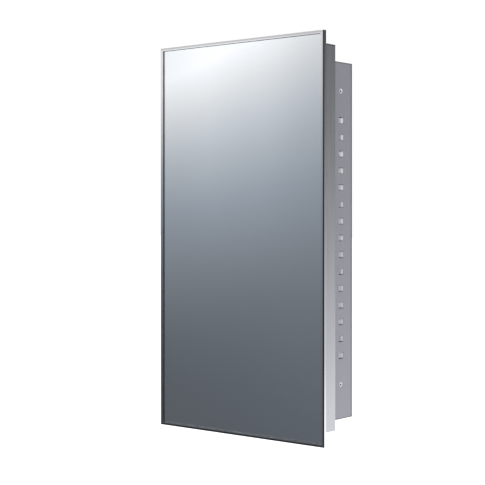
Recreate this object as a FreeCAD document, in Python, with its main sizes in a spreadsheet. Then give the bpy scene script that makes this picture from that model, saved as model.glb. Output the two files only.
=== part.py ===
import FreeCAD, Part
import os
import Sketcher
from FreeCAD import Vector

# A semi-recessed steel medicine cabinet with one framed mirror door.
# +X is the viewer's right, +Y goes back into the wall, +Z is up.  The origin is the middle of the
# bounding box.  Depths are measured from the wall plane, so the door and the collar, which stand
# in front of the wall, are negative; every body is then moved so that the origin is centred.

doc = FreeCAD.newDocument("medicine_cabinet")
sheet = doc.addObject("Spreadsheet::Sheet", "Sizes")

# Driving sizes in millimetres: alias, value, what it is.
SIZES = [
    ("door_wide", 406.4, "door width over the frame"),
    ("door_tall", 762.0, "door height over the frame"),
    ("door_front", 57.0, "wall plane to the front of the door frame"),
    ("door_thick", 9.5, "door frame, front to back"),
    ("frame_sheet", 0.8, "frame channel sheet"),
    ("lip_wide", 6.0, "front lip of the frame over the mirror"),
    ("lip_thick", 1.2, "front lip, hemmed double"),
    ("lip_bend", 2.4, "outside radius of the bend between lip and outer wall"),
    ("mitre_reach", 10.0, "how far the mitre cuts reach across the channel"),
    ("frame_return", 6.5, "rear flange of the frame over the pan"),
    ("glass_thick", 4.0, "mirror glass"),
    ("glass_gap", 2.0, "glass edge to the inside of the channel"),
    ("felt_thick", 2.5, "backing sheet between glass and pan"),
    ("pan_thick", 1.0, "steel sheet closing the back of the door"),
    ("key_leg", 30.0, "leg of a corner key"),
    ("key_gap", 0.1, "corner key behind the bend of the lip"),
    ("key_thick", 1.2, "corner key strip thickness"),
    ("key_wide", 4.6, "corner key strip width, front to back"),
    ("collar_half", 190.5, "half the width over the collar"),
    ("collar_rise", 360.0, "top of the collar above the door middle"),
    ("collar_drop", 358.0, "bottom of the collar below the door middle"),
    ("collar_deep", 46.0, "collar, wall plane to its front face"),
    ("collar_bend", 1.5, "outside radius of the collar bends"),
    ("skin", 1.0, "sheet thickness of collar and case"),
    ("trim_gap", 0.3, "collar step to the case side"),
    ("case_half", 177.8, "half the width over the recessed case"),
    ("case_rise", 332.5, "top of the case above the door middle"),
    ("case_drop", 342.0, "bottom of the case below the door middle"),
    ("case_deep", 73.0, "wall plane to the back of the case"),
    ("front_flange", 11.0, "front flange of the case sides, under the collar"),
    ("back_flange", 13.0, "rear flange of the case sides"),
    ("top_flange", 20.0, "front flange of the case top"),
    ("corner_flange", 14.0, "end flange joining top or bottom to a side"),
    ("corner_flange_front", 8.0, "case front to the start of an end flange"),
    ("corner_flange_rear", 18.0, "case rear to the end of an end flange"),
    ("turned_inset", 9.8, "case side to the end of the back sheet's flanges"),
    ("back_rivet_in", 9.0, "case rear to the rivets of the back sheet"),
    ("case_bend", 1.5, "outside radius of the case bends"),
    ("rest_pitch", 31.75, "shelf rest spacing"),
    ("rest_count", 15, "shelf rests in a column"),
    ("rest_wide", 15.0, "shelf rest, front to back"),
    ("rest_tall", 10.4, "shelf rest strip height"),
    ("rest_slit", 0.8, "slit above and below the pressed strip"),
    ("rest_press", 4.0, "how far the strip is pressed inward"),
    ("rest_back", 36.0, "rear column of rests behind the wall plane"),
    ("rest_front", 8.0, "front column of rests before the wall plane"),
    ("fixing_up", 277.5, "screw holes in the sides above and below the middle"),
    ("fixing_hole", 2.1, "radius of those screw holes"),
    ("dimple", 5.5, "radius of the pressed dimple around a screw hole"),
    ("dimple_deep", 1.3, "depth of the dimple"),
    ("dimple_slope", 60.0, "slope of the dimple wall from its axis, degrees"),
    ("shelf_sheet", 1.0, "shelf sheet"),
    ("shelf_side_gap", 1.6, "shelf end to the case side"),
    ("shelf_front", 34.0, "shelf front edge before the wall plane"),
    ("shelf_back", 66.0, "shelf rear edge behind the wall plane"),
    ("shelf_lip", 10.0, "front lip of a shelf, downwards"),
    ("shelf_hem", 6.0, "return under the front lip"),
    ("shelf_rear_lip", 8.0, "rear lip of a shelf, downwards"),
    ("tongue_wide", 6.4, "shelf tongue, front to back"),
    ("tongue_long", 10.0, "shelf tongue below the shelf"),
    ("knuckle", 2.6, "outside radius of the hinge knuckles"),
    ("swage", 0.35, "leaf face beyond the knuckle radius"),
    ("leaf_thick", 1.0, "hinge leaf"),
    ("leaf_wide", 15.5, "hinge leaf from the pin axis"),
    ("hinge_half", 345.0, "half the hinge length"),
    ("knuckle_pitch", 23.0, "one knuckle and its gap"),
    ("knuckle_gap", 0.4, "gap between knuckles"),
    ("pin", 1.2, "radius of the hinge pin"),
    ("pin_fit", 0.05, "running fit of the door knuckles on the pin"),
    ("pin_head", 1.9, "radius of the peened pin ends"),
    ("pin_head_tall", 0.9, "peened pin end height"),
    ("pin_past", 0.5, "pin end beyond the last knuckle"),
    ("pin_head_gap", 0.4, "last knuckle to the peened end"),
    ("rivet_shank", 1.6, "radius of a sheet metal rivet"),
    ("rivet_head", 2.5, "radius of its head"),
    ("rivet_proud", 0.8, "height of its head"),
    ("frame_rivet", 1.2, "radius of a door frame rivet"),
    ("frame_rivet_head", 2.2, "radius of its head"),
    ("flat_proud", 0.6, "height of a low rivet head"),
    ("flush_proud", 0.2, "height of a hinge rivet head"),
    ("bumper", 3.5, "radius of a door bumper"),
    ("bumper_tall", 2.0, "height of a door bumper"),
    ("bumper_inset", 6.0, "bottom of the collar to the bumper centres"),
    ("catch_wide", 12.0, "magnetic catch, away from the case side"),
    ("catch_long", 20.0, "magnetic catch, front to back"),
    ("catch_half", 22.0, "half the height of the catch"),
    ("catch_wall", 1.5, "wall of the catch housing"),
    ("catch_inset", 4.0, "collar front to the catch housing"),
    ("magnet_half", 15.0, "half the height of the magnet"),
    ("magnet_wide", 5.0, "magnet width"),
    ("magnet_inset", 2.0, "front of the housing to the magnet"),
    ("catch_fit", 0.1, "gap of the pole plates in the housing"),
    ("pole_thick", 1.5, "pole plate thickness"),
    ("pole_proud", 0.8, "pole plates in front of the collar"),
    ("catch_screw", 1.5, "radius of a catch screw"),
    ("catch_screw_head", 2.6, "radius of its head"),
    ("catch_screw_proud", 1.6, "height of its head"),
    ("catch_screw_past", 1.5, "end of the screw beyond the case side"),
    ("catch_screw_up", 19.0, "catch screws above and below its middle"),
    ("strike_thick", 1.2, "strike plate"),
    ("strike_wide", 16.0, "strike plate width"),
    ("strike_half", 26.0, "half the height of the strike plate"),
    ("strike_corner", 2.0, "corner radius of the strike plate"),
    ("strike_rivet_in", 5.0, "strike end to its rivets"),
    ("rim_rivet_out", 0.2, "collar rivets outward of the middle of the case flange"),
    ("collar_notch", 4.0, "notch at the ends of a collar side, past the case side"),
    ("collar_end_cut", 40.0, "height of the cut at the ends of the collar's top and bottom"),
    ("pole_short", 1.0, "pole plate end short of the magnet's"),
    ("pan_clear", 1.0, "edge of the pan to the inside of the frame"),
    ("cut_past", 1.0, "how far a cut runs past the sheet on each side"),
]
for row, (alias, value, meaning) in enumerate(SIZES, start=1):
    sheet.set(f"A{row}", meaning)
    sheet.set(f"B{row}", str(value))
    sheet.setAlias(f"B{row}", alias)
doc.recompute()

# Planes and heights that several pieces share, written with the sheet's names.
WALL_Y = "(Sizes.door_front-Sizes.case_deep)/2"
DOOR_FRONT = "(-Sizes.door_front)"
GLASS_FRONT = "(-Sizes.door_front+Sizes.lip_thick)"
DOOR_BACK = "(-Sizes.door_front+Sizes.door_thick)"
PAN_BACK = "(-Sizes.door_front+Sizes.door_thick-Sizes.frame_sheet)"
PAN_FRONT = "(-Sizes.door_front+Sizes.door_thick-Sizes.frame_sheet-Sizes.pan_thick)"
COLLAR_FRONT = "(-Sizes.collar_deep)"
CASE_FRONT = "(-Sizes.collar_deep+Sizes.skin)"
CASE_INSIDE = "(Sizes.case_half-Sizes.skin)"
THROUGH_SKIN = "(Sizes.skin+2*Sizes.cut_past)"
THROUGH_COLLAR = "(Sizes.collar_deep+2*Sizes.cut_past)"
RIM_START = "(Sizes.collar_deep-Sizes.skin-2*Sizes.cut_past)"
RIM_MIDDLE = "(Sizes.case_half+Sizes.front_flange/2+Sizes.rim_rivet_out)"
HINGE_X = "(-Sizes.collar_half-Sizes.knuckle-Sizes.swage)"
HINGE_Y = "(-Sizes.door_front+Sizes.door_thick-Sizes.frame_sheet+Sizes.knuckle+Sizes.swage)"
LEAF_OUT = "(Sizes.knuckle+Sizes.swage)"
LEAF_IN = "(Sizes.knuckle+Sizes.swage-Sizes.leaf_thick)"

# Where the rivets and screws go.
RIM_RIVET_HEIGHTS = [f"{step}*Sizes.collar_rise*0.42" for step in (-2, -1, 0, 1, 2)]
RIM_RIVET_ACROSS = [f"{step}*Sizes.case_half*0.68" for step in (-1, 0, 1)]
TOP_RIM = "(Sizes.case_rise+(Sizes.top_flange-Sizes.skin)/2)"
BOTTOM_RIM = "(-Sizes.case_drop-Sizes.front_flange/2)"
CORNER_RIVET_HEIGHTS = [
    "Sizes.case_rise-Sizes.corner_flange/2-Sizes.skin",
    "-Sizes.case_drop+Sizes.corner_flange/2+Sizes.skin",
]
BACK_RIVET_Y = "(Sizes.case_deep-Sizes.back_rivet_in)"
CATCH_SCREW_Y = "(-Sizes.collar_deep+Sizes.catch_inset+Sizes.catch_long/2)"
LEAF_RIVET_HEIGHTS = [f"{step}*Sizes.hinge_half*0.275/2" for step in range(-7, 8, 2)]
CASE_LEAF_RIVET_Y = f"({HINGE_Y}+Sizes.leaf_wide*0.65)"
DOOR_LEAF_RIVET_X = f"({HINGE_X}+Sizes.leaf_wide*0.6)"
TWO_SHEETS = "2*Sizes.skin"

made = []


def origin_part(body, role):
    """One of the body's own origin planes or axes."""
    return next(part for part in body.Origin.OriginFeatures if part.Role == role)


def new_body(label, base=("0", "0", "0")):
    """A body with its own label, placed at three expressions measured from the wall plane."""
    body = doc.addObject("PartDesign::Body", label)
    body.Label = label
    body.AllowCompound = True
    across, deep, up = base
    body.setExpression("Placement.Base.x", across)
    body.setExpression("Placement.Base.y", f"{deep}+{WALL_Y}")
    body.setExpression("Placement.Base.z", up)
    made.append(body)
    return body


def new_sketch(body, role, offset):
    """An empty sketch on an origin plane, moved along the plane's normal."""
    sketch = body.newObject("Sketcher::SketchObject", body.Label + "_sketch")
    sketch.AttachmentSupport = [(origin_part(body, role), "")]
    sketch.MapMode = "FlatFace"
    sketch.setExpression("AttachmentOffset.Base.z", offset)
    return sketch


def pin_point(sketch, geometry, position, across, along):
    """Fixes a point of the sketch at two expressions."""
    for kind, axis, expression in (("DistanceX", -2, across), ("DistanceY", -1, along)):
        value = float(sketch.evalExpression(expression))
        if abs(value) < 1e-9:
            sketch.addConstraint(Sketcher.Constraint("PointOnObject", geometry, position, axis))
        else:
            index = sketch.addConstraint(
                Sketcher.Constraint(kind, -1, 1, geometry, position, value)
            )
            sketch.setExpression(f"Constraints[{index}]", expression)


def outline(body, role, points, offset="0"):
    """A closed outline with each corner at two expressions."""
    sketch = new_sketch(body, role, offset)
    corners = [
        Vector(float(sketch.evalExpression(u)), float(sketch.evalExpression(v)), 0)
        for u, v in points
    ]
    count = len(points)
    for i in range(count):
        sketch.addGeometry(Part.LineSegment(corners[i], corners[(i + 1) % count]), False)
    for i in range(count):
        sketch.addConstraint(Sketcher.Constraint("Coincident", i, 2, (i + 1) % count, 1))
    for i, (u, v) in enumerate(points):
        pin_point(sketch, i, 1, u, v)
    return sketch


def circles(body, role, centres, radius, offset="0"):
    """Equal circles, each centre at two expressions."""
    sketch = new_sketch(body, role, offset)
    reach = float(sketch.evalExpression(radius))
    for i, (u, v) in enumerate(centres):
        middle = Vector(float(sketch.evalExpression(u)), float(sketch.evalExpression(v)), 0)
        sketch.addGeometry(Part.Circle(middle, Vector(0, 0, 1), reach), False)
        index = sketch.addConstraint(Sketcher.Constraint("Radius", i, reach))
        sketch.setExpression(f"Constraints[{index}]", radius)
        pin_point(sketch, i, 3, u, v)
    return sketch


def add(body, sketch, length):
    """Pads a sketch along its plane's normal."""
    feature = body.newObject("PartDesign::Pad", body.Label + "_pad")
    feature.Profile = sketch
    feature.setExpression("Length", length)
    body.Tip = feature
    doc.recompute()
    return feature


def remove(body, sketch, length):
    """Pockets a sketch along its plane's normal and checks that it took material away."""
    before = body.Tip.Shape.Volume
    feature = body.newObject("PartDesign::Pocket", body.Label + "_pocket")
    feature.Profile = sketch
    feature.Type = "Length"
    feature.Reversed = True
    feature.setExpression("Length", length)
    body.Tip = feature
    doc.recompute()
    if not feature.Shape.Volume < before - 1e-3:
        raise ValueError(body.Label + ": a pocket removed nothing")
    return feature


def cone(body, sketch, kind, length, slope, along):
    """A tapered pad or pocket of a sketch, along its plane's normal or against it."""
    before = body.Tip.Shape.Volume
    feature = body.newObject("PartDesign::" + kind, f"{body.Label}_{kind.lower()}")
    feature.Profile = sketch
    feature.Type = "Length"
    feature.Reversed = along == (kind == "Pocket")
    feature.setExpression("Length", length)
    feature.setExpression("TaperAngle", slope)
    body.Tip = feature
    doc.recompute()
    change = feature.Shape.Volume - before
    if change * (1 if kind == "Pad" else -1) < 1:
        raise ValueError(body.Label + ": a cone changed nothing")
    return feature


def box(left, right, low, high):
    """Corner expressions of an upright rectangle."""
    return [(left, low), (right, low), (right, high), (left, high)]


def repeat(body, features, role, length, count):
    """Repeats features in a straight line along an origin axis."""
    feature = body.newObject("PartDesign::LinearPattern", body.Label + "_pattern")
    feature.Originals = features
    feature.Direction = (origin_part(body, role), [""])
    feature.setExpression("Length", length)
    feature.setExpression("Occurrences", count)
    body.Tip = feature
    doc.recompute()
    return feature


def round_edges(body, chosen, radius):
    """Fillets the edges of the tip for which chosen(edge middle, edge direction) is true."""
    base = body.Tip
    names = []
    for i, edge in enumerate(base.Shape.Edges, start=1):
        first = edge.Vertexes[0].Point
        last = edge.Vertexes[-1].Point
        middle = edge.valueAt((edge.FirstParameter + edge.LastParameter) / 2)
        run = last.sub(first)
        if run.Length > 0:
            run.normalize()
        if chosen(middle, run, edge):
            names.append(f"Edge{i}")
    if not names:
        raise ValueError(body.Label + ": no edge to round")
    feature = body.newObject("PartDesign::Fillet", body.Label + "_fillet")
    feature.Base = (base, names)
    feature.setExpression("Radius", radius)
    body.Tip = feature
    doc.recompute()
    return feature


def size(expression):
    """The number that an expression of the sheet gives now."""
    return float(sheet.evalExpression(expression.replace("Sizes.", "")))


def long_edge(u, v, flat, along):
    """Chooses edges along one axis that pass a point of the plane across it."""

    def chosen(middle, run, edge):
        near = all(abs(getattr(middle, a) - b) < 0.02 for a, b in zip(flat, (u, v)))
        return near and abs(getattr(run, along)) > 0.999

    return chosen


def rim_of(plane_at, axis, radius):
    """Chooses the circular edges of one radius lying in one plane."""

    def chosen(middle, run, edge):
        round_edge = edge.Curve.TypeId == "Part::GeomCircle"
        level = abs(getattr(middle, axis) - plane_at) < 0.02
        return round_edge and level and abs(edge.Curve.Radius - radius) < 0.01

    return chosen


# ---------------------------------------------------------------- the recessed case


def side_panel(label, hand):
    """A case side: web, outward front flange, inward rear flange, two columns of shelf rests."""
    body = new_body(label, (f"{hand}*Sizes.case_half", "0", "0"))
    section = [
        (f"{hand}*Sizes.front_flange", CASE_FRONT),
        (f"{hand}*Sizes.front_flange", CASE_FRONT + "+Sizes.skin"),
        ("0", CASE_FRONT + "+Sizes.skin"),
        ("0", "Sizes.case_deep"),
        (f"-{hand}*Sizes.back_flange", "Sizes.case_deep"),
        (f"-{hand}*Sizes.back_flange", "Sizes.case_deep-Sizes.skin"),
        (f"-{hand}*Sizes.skin", "Sizes.case_deep-Sizes.skin"),
        (f"-{hand}*Sizes.skin", CASE_FRONT),
    ]
    add(
        body,
        outline(body, "XY_Plane", section, "-Sizes.case_drop"),
        "Sizes.case_rise+Sizes.case_drop",
    )
    rear = size("Sizes.case_deep")
    round_edges(body, long_edge(0, rear, "xy", "z"), "Sizes.case_bend")
    inner = -hand * size("Sizes.skin")
    round_edges(body, long_edge(inner, size(CASE_FRONT), "xy", "z"), "Sizes.case_bend/2")

    # Each rest is a strip between two level slits, pressed inward into a bridge.
    first = "(-Sizes.rest_pitch*(Sizes.rest_count-1)/2)"
    half = "Sizes.rest_wide/2"
    window_half = "(Sizes.rest_tall/2+Sizes.rest_slit)"
    start = "-Sizes.skin-Sizes.cut_past" if hand > 0 else "-Sizes.cut_past"
    deep_start = "-Sizes.dimple_deep-Sizes.skin-Sizes.cut_past" if hand > 0 else "-Sizes.cut_past"
    cuts = []
    strips = []
    for column in ("Sizes.rest_back", "(-Sizes.rest_front)"):
        window = box(
            f"{column}-{half}",
            f"{column}+{half}",
            f"{first}-{window_half}",
            f"{first}+{window_half}",
        )
        cuts.append(remove(body, outline(body, "YZ_Plane", window, start), THROUGH_SKIN))
    for column in ("Sizes.rest_back", "(-Sizes.rest_front)"):
        deep = f"-{hand}*Sizes.rest_press"
        deeper = f"-{hand}*(Sizes.rest_press+Sizes.skin)"
        bridge = [
            ("0", f"{column}-{half}"),
            (deep, f"{column}-{half}+Sizes.rest_press"),
            (deep, f"{column}+{half}-Sizes.rest_press"),
            ("0", f"{column}+{half}"),
            (f"-{hand}*Sizes.skin", f"{column}+{half}"),
            (deeper, f"{column}+{half}-Sizes.rest_press"),
            (deeper, f"{column}-{half}+Sizes.rest_press"),
            (f"-{hand}*Sizes.skin", f"{column}-{half}"),
        ]
        base = f"{first}-Sizes.rest_tall/2"
        strips.append(add(body, outline(body, "XY_Plane", bridge, base), "Sizes.rest_tall"))
    length = "Sizes.rest_pitch*(Sizes.rest_count-1)"
    repeat(body, cuts + strips, "Z_Axis", length, "Sizes.rest_count")

    # Each screw hole is in the floor of a dimple pressed inward.
    fixings = [("Sizes.rest_back", "Sizes.fixing_up"), ("Sizes.rest_back", "-Sizes.fixing_up")]
    for kind, level in (("Pad", f"-{hand}*Sizes.skin"), ("Pocket", "0")):
        ring = circles(body, "YZ_Plane", fixings, "Sizes.dimple", level)
        cone(body, ring, kind, "Sizes.dimple_deep", "-Sizes.dimple_slope", hand < 0)
    remove(
        body,
        circles(body, "YZ_Plane", fixings, "Sizes.fixing_hole", deep_start),
        "Sizes.dimple_deep+Sizes.skin+2*Sizes.cut_past",
    )
    rivets = [("-Sizes.collar_deep/2", z) for z in CORNER_RIVET_HEIGHTS]
    remove(body, circles(body, "YZ_Plane", rivets, "Sizes.rivet_shank", start), THROUGH_SKIN)
    rim = [(f"{hand}*({RIM_MIDDLE}-Sizes.case_half)", z) for z in RIM_RIVET_HEIGHTS]
    remove(
        body,
        circles(body, "XZ_Plane", rim, "Sizes.rivet_shank", RIM_START),
        THROUGH_SKIN,
    )
    if hand > 0:
        screws = [(CATCH_SCREW_Y, f"{sign}*Sizes.catch_screw_up") for sign in (-1, 1)]
        remove(
            body,
            circles(body, "YZ_Plane", screws, "Sizes.catch_screw", start),
            THROUGH_SKIN,
        )


side_panel("case_side_right", 1)
side_panel("case_side_left", -1)


def end_panel(label, hand, level, front_flange):
    """The case top or bottom: plate, outward front flange, two end flanges along the sides."""
    body = new_body(label, ("0", "0", level))
    plate = [
        (CASE_FRONT, f"{hand}*{front_flange}"),
        (CASE_FRONT + "+Sizes.skin", f"{hand}*{front_flange}"),
        (CASE_FRONT + "+Sizes.skin", "0"),
        ("Sizes.case_deep-Sizes.skin", "0"),
        ("Sizes.case_deep-Sizes.skin", f"-{hand}*Sizes.skin"),
        (CASE_FRONT, f"-{hand}*Sizes.skin"),
    ]
    add(body, outline(body, "YZ_Plane", plate, "-" + CASE_INSIDE), f"2*{CASE_INSIDE}")
    inner = -hand * size("Sizes.skin")
    round_edges(body, long_edge(size(CASE_FRONT), inner, "yz", "x"), "Sizes.case_bend/2")
    flange = box(
        CASE_FRONT + "+Sizes.corner_flange_front",
        "Sizes.case_deep-Sizes.corner_flange_rear",
        f"-{hand}*(Sizes.skin/2)",
        f"-{hand}*Sizes.corner_flange",
    )
    for start in (f"{CASE_INSIDE}-Sizes.skin", f"-{CASE_INSIDE}"):
        add(body, outline(body, "YZ_Plane", flange, start), "Sizes.skin")
    rivet = f"-{hand}*(Sizes.corner_flange/2+Sizes.skin)"
    corner = circles(
        body, "YZ_Plane", [("-Sizes.collar_deep/2", rivet)], "Sizes.rivet_shank", "-Sizes.case_half"
    )
    remove(body, corner, "2*Sizes.case_half")
    rim = [(x, f"{hand}*({front_flange}/2)") for x in RIM_RIVET_ACROSS]
    rim = circles(body, "XZ_Plane", rim, "Sizes.rivet_shank", RIM_START)
    remove(body, rim, THROUGH_SKIN)
    back = [(x, BACK_RIVET_Y) for x in RIM_RIVET_ACROSS]
    back = circles(body, "XY_Plane", back, "Sizes.rivet_shank", "-Sizes.skin-Sizes.cut_past")
    remove(body, back, "2*Sizes.skin+2*Sizes.cut_past")


end_panel("case_top", 1, "Sizes.case_rise", "(Sizes.top_flange-Sizes.skin)")
end_panel("case_bottom", -1, "-Sizes.case_drop", "Sizes.front_flange")

# The back sheet, with a flange turned forward under the top and over the bottom.
back = new_body("case_back", ("0", "Sizes.case_deep-Sizes.skin", "0"))
low = "(-Sizes.case_drop+Sizes.skin)"
high = "(Sizes.case_rise-Sizes.skin)"
sheet_face = box("-" + CASE_INSIDE, CASE_INSIDE, low, high)
add(back, outline(back, "XZ_Plane", sheet_face, "0"), "Sizes.skin")
for inner, outer in ((f"{high}-Sizes.skin", high), (low, f"{low}+Sizes.skin")):
    reach = "(Sizes.case_half-Sizes.turned_inset)"
    turned = box("-" + reach, reach, inner, outer)
    add(back, outline(back, "XZ_Plane", turned, "Sizes.skin/2"), "Sizes.back_flange")
holes = circles(
    back,
    "XY_Plane",
    [(x, f"{BACK_RIVET_Y}-Sizes.case_deep+Sizes.skin") for x in RIM_RIVET_ACROSS],
    "Sizes.rivet_shank",
    "-Sizes.case_drop",
)
remove(back, holes, "Sizes.case_drop+Sizes.case_rise")

# ---------------------------------------------------------------- the collar


def collar_side(label, hand):
    """A side of the collar: a channel with its front and rear flanges turned inward."""
    body = new_body(label, (f"{hand}*Sizes.collar_half", "0", "0"))
    front_end = f"-{hand}*(Sizes.collar_half-{CASE_INSIDE})"
    rear_end = f"-{hand}*(Sizes.collar_half-Sizes.case_half-Sizes.trim_gap)"
    wall = f"-{hand}*Sizes.skin"
    section = [
        ("0", "0"),
        (rear_end, "0"),
        (rear_end, "-Sizes.skin"),
        (wall, "-Sizes.skin"),
        (wall, CASE_FRONT),
        (front_end, CASE_FRONT),
        (front_end, COLLAR_FRONT),
        ("0", COLLAR_FRONT),
    ]
    bottom = "(-Sizes.collar_drop+Sizes.skin)"
    length = "Sizes.collar_drop+Sizes.collar_rise-2*Sizes.skin"
    add(body, outline(body, "XY_Plane", section, bottom), length)
    for y in (0.0, size(COLLAR_FRONT)):
        round_edges(body, long_edge(0, y, "xy", "z"), "Sizes.collar_bend")
    # The top and bottom of the collar run over the ends, so the side's flanges stop short there.
    past = f"-{hand}*(Sizes.collar_half-Sizes.case_half+Sizes.collar_notch)"
    upper = box(wall, past, "Sizes.case_rise-Sizes.skin", "Sizes.collar_rise")
    lower = box(wall, past, "-Sizes.collar_drop", "-Sizes.case_drop+Sizes.skin")
    for end in (upper, lower):
        remove(body, outline(body, "XZ_Plane", end, "-Sizes.cut_past"), THROUGH_COLLAR)
    rim = [(f"{hand}*({RIM_MIDDLE}-Sizes.collar_half)", z) for z in RIM_RIVET_HEIGHTS]
    rim = circles(body, "XZ_Plane", rim, "Sizes.rivet_shank", "Sizes.collar_deep-Sizes.skin-Sizes.cut_past")
    remove(body, rim, THROUGH_SKIN)
    if hand < 0:
        holes = [(CASE_LEAF_RIVET_Y, z) for z in LEAF_RIVET_HEIGHTS]
        holes = circles(body, "YZ_Plane", holes, "Sizes.rivet_shank", "-Sizes.cut_past")
        remove(body, holes, THROUGH_SKIN)


def collar_end(label, hand, edge, case_edge):
    """The top or bottom of the collar, as wide as the whole collar."""
    body = new_body(label, ("0", "0", f"{hand}*{edge}"))
    front_end = f"-{hand}*({edge}-{case_edge}+Sizes.skin)"
    rear_end = f"-{hand}*({edge}-{case_edge}-Sizes.trim_gap)"
    wall = f"-{hand}*Sizes.skin"
    section = [
        ("0", "0"),
        ("0", rear_end),
        ("-Sizes.skin", rear_end),
        ("-Sizes.skin", wall),
        (CASE_FRONT, wall),
        (CASE_FRONT, front_end),
        (COLLAR_FRONT, front_end),
        (COLLAR_FRONT, "0"),
    ]
    add(
        body,
        outline(body, "YZ_Plane", section, "-Sizes.collar_half"),
        "2*Sizes.collar_half",
    )
    for y in (0.0, size(COLLAR_FRONT)):
        round_edges(body, long_edge(y, 0, "yz", "x"), "Sizes.collar_bend")
    for sign in (-1, 1):
        outer = f"{sign}*(Sizes.collar_half+Sizes.cut_past)"
        inner = f"{sign}*(Sizes.collar_half-Sizes.skin)"
        end = box(inner, outer, wall, f"-{hand}*Sizes.collar_end_cut")
        remove(body, outline(body, "XZ_Plane", end, "-Sizes.cut_past"), THROUGH_COLLAR)
    height = TOP_RIM if hand > 0 else BOTTOM_RIM
    rim = [(x, f"{height}-{hand}*{edge}") for x in RIM_RIVET_ACROSS]
    rim = circles(body, "XZ_Plane", rim, "Sizes.rivet_shank", "Sizes.collar_deep-Sizes.skin-Sizes.cut_past")
    remove(body, rim, THROUGH_SKIN)


collar_side("collar_right", 1)
collar_side("collar_left", -1)
collar_end("collar_top", 1, "Sizes.collar_rise", "Sizes.case_rise")
collar_end("collar_bottom", -1, "Sizes.collar_drop", "Sizes.case_drop")

# ---------------------------------------------------------------- shelves


def shelf(label, mark):
    """A sheet steel shelf whose four tongues drop into the bridges of one level of rests."""
    height = f"({mark}-(Sizes.rest_count-1)/2)*Sizes.rest_pitch+Sizes.rest_tall/2"
    body = new_body(label, ("0", "0", height))
    end = f"({CASE_INSIDE}-Sizes.shelf_side_gap)"
    front = "(-Sizes.shelf_front)"
    section = [
        (front, "Sizes.shelf_sheet"),
        ("Sizes.shelf_back", "Sizes.shelf_sheet"),
        ("Sizes.shelf_back", "-Sizes.shelf_rear_lip"),
        ("Sizes.shelf_back-Sizes.shelf_sheet", "-Sizes.shelf_rear_lip"),
        ("Sizes.shelf_back-Sizes.shelf_sheet", "0"),
        (front + "+Sizes.shelf_sheet", "0"),
        (front + "+Sizes.shelf_sheet", "-Sizes.shelf_lip+Sizes.shelf_sheet"),
        (front + "+Sizes.shelf_hem", "-Sizes.shelf_lip+Sizes.shelf_sheet"),
        (front + "+Sizes.shelf_hem", "-Sizes.shelf_lip"),
        (front, "-Sizes.shelf_lip"),
    ]
    add(body, outline(body, "YZ_Plane", section, "-" + end), f"2*{end}")
    top = size("Sizes.shelf_sheet")
    round_edges(body, long_edge(-size("Sizes.shelf_front"), top, "yz", "x"), "Sizes.shelf_sheet*0.9")
    round_edges(body, long_edge(size("Sizes.shelf_back"), top, "yz", "x"), "Sizes.shelf_sheet*0.9")
    for column in ("Sizes.rest_back", "(-Sizes.rest_front)"):
        tongue = box(
            f"{column}-Sizes.tongue_wide/2",
            f"{column}+Sizes.tongue_wide/2",
            "-Sizes.tongue_long",
            "Sizes.shelf_sheet/2",
        )
        for start in ("-" + end, f"{end}-Sizes.shelf_sheet"):
            add(body, outline(body, "YZ_Plane", tongue, start), "Sizes.shelf_sheet")


for number, mark in enumerate((1, 5, 9, 13), start=1):
    shelf(f"shelf_{number}", mark)

# ---------------------------------------------------------------- hinge


def hinge_leaf(label, plate, first_cut, bore, holes_role, holes, holes_start):
    """A continuous hinge leaf about its pin axis: plate, knuckles, bore and rivet holes."""
    body = new_body(label, (HINGE_X, HINGE_Y, "0"))
    length = "2*Sizes.hinge_half"
    add(body, outline(body, "XY_Plane", plate, "-Sizes.hinge_half"), length)
    barrel = circles(body, "XY_Plane", [("0", "0")], "Sizes.knuckle", "-Sizes.hinge_half")
    add(body, barrel, length)
    hole = circles(body, "XY_Plane", [("0", "0")], bore, "-Sizes.hinge_half-Sizes.cut_past")
    remove(body, hole, length + "+2*Sizes.cut_past")
    notch = box("-" + LEAF_OUT, LEAF_OUT, "-" + LEAF_OUT, LEAF_OUT)
    notch = outline(body, "XY_Plane", notch, first_cut)
    cut = remove(body, notch, "Sizes.knuckle_pitch+Sizes.knuckle_gap")
    run = "2*Sizes.hinge_half-2*Sizes.knuckle_pitch"
    repeat(body, [cut], "Z_Axis", run, "Sizes.hinge_half/Sizes.knuckle_pitch")
    rivets = circles(body, holes_role, holes, "Sizes.rivet_shank", holes_start)
    remove(body, rivets, "Sizes.leaf_thick+2*Sizes.cut_past")


case_plate = box(LEAF_IN, LEAF_OUT, "0", "Sizes.leaf_wide")
case_holes = [(f"{CASE_LEAF_RIVET_Y}-{HINGE_Y}", z) for z in LEAF_RIVET_HEIGHTS]
hinge_leaf(
    "hinge_leaf_case",
    case_plate,
    "-Sizes.hinge_half+Sizes.knuckle_pitch-Sizes.knuckle_gap/2",
    "Sizes.pin",
    "YZ_Plane",
    case_holes,
    LEAF_IN + "-Sizes.cut_past",
)
door_plate = box("0", "Sizes.leaf_wide", "-" + LEAF_OUT, "-" + LEAF_IN)
door_holes = [(f"{DOOR_LEAF_RIVET_X}-{HINGE_X}", z) for z in LEAF_RIVET_HEIGHTS]
hinge_leaf(
    "hinge_leaf_door",
    door_plate,
    "-Sizes.hinge_half-Sizes.knuckle_gap/2",
    "Sizes.pin+Sizes.pin_fit",
    "XZ_Plane",
    door_holes,
    LEAF_IN + "-Sizes.cut_past",
)

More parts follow.
